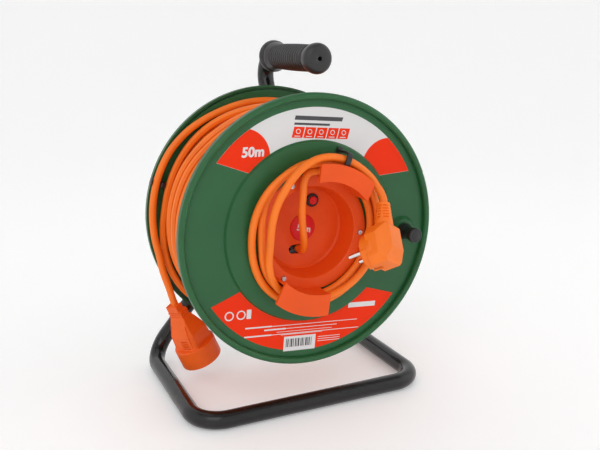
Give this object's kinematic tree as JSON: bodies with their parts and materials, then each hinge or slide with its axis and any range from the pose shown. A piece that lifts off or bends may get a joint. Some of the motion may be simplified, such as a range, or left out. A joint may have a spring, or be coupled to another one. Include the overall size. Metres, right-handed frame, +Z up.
{
  "type": "cable reel",
  "caption": "Extension cord reel: plastic drum with orange cord turning on a bent-tube stand with grip, winding knob, plug and trailing socket.",
  "frame": {"origin": "on the floor, under the centre of the reel's box without the cords", "axes": "+Z up, the axle along Y, the winding side and its knob facing -Y"},
  "size_m": [0.29, 0.2649, 0.3901],
  "materials": {
    "frame_black": "gloss",
    "grip_black": "matte",
    "flange_green": "satin",
    "orange_plastic": "satin",
    "cord_orange": "satin",
    "steel": "satin",
    "black_plastic": "satin",
    "red_plastic": "gloss",
    "cream_plastic": "satin",
    "brass": "satin",
    "pin_nickel": "polished"
  },
  "bodies": {
    "stand": {"base_tube": "frame_black", "handle_tube": "frame_black", "hub_block": "frame_black", "grip": "grip_black", "axle": "steel", "axle_washer": "steel", "axle_end_washer": "steel", "axle_end_screw": "steel", "tail_washer": "steel", "tail_nut": "steel", "cord_tail": "cord_orange", "connector_body": "cord_orange", "socket_insert": "cord_orange", "socket_contacts": "brass", "socket_earth": "steel"},
    "drum": {"front_flange": "flange_green", "rear_flange": "flange_green", "drum_screws": "steel", "cable_cup": "orange_plastic", "cup_screws": "steel", "centre_cap": "red_plastic", "thermal_switch": "black_plastic", "terminal_block": "cream_plastic", "lead_clamp": "black_plastic", "barrel_grommet": "grip_black", "knob_pin": "steel", "front_clip": "black_plastic", "rear_clip": "black_plastic", "cord_core": "cord_orange", "cord_winding": "cord_orange", "lead_inner": "cord_orange", "lead_coil": "cord_orange", "lead_outer": "cord_orange", "plug_body": "cord_orange", "plug_pins": "pin_nickel", "plug_earth": "pin_nickel"},
    "knob_body": {"knob": "black_plastic"},
    "reset_button_body": {"reset_button": "red_plastic"}
  },
  "joints": [
    {"name": "drum_spin", "type": "hinge", "parent": "stand", "child": "drum", "pos_m": [0, 0, 0.195], "axis": [0, 1, 0], "continuous": true},
    {"name": "knob_spin", "type": "hinge", "parent": "drum", "child": "knob_body", "pos_m": [0.11063, -0.0948, 0.1859], "axis": [0, 1, 0], "continuous": true},
    {"name": "reset_push", "type": "slide", "parent": "drum", "child": "reset_button_body", "axis": [0, 1, 0], "range_m": [0, 0.002], "stiffness_N_per_m": 500, "springref_m": -0.001}
  ]
}
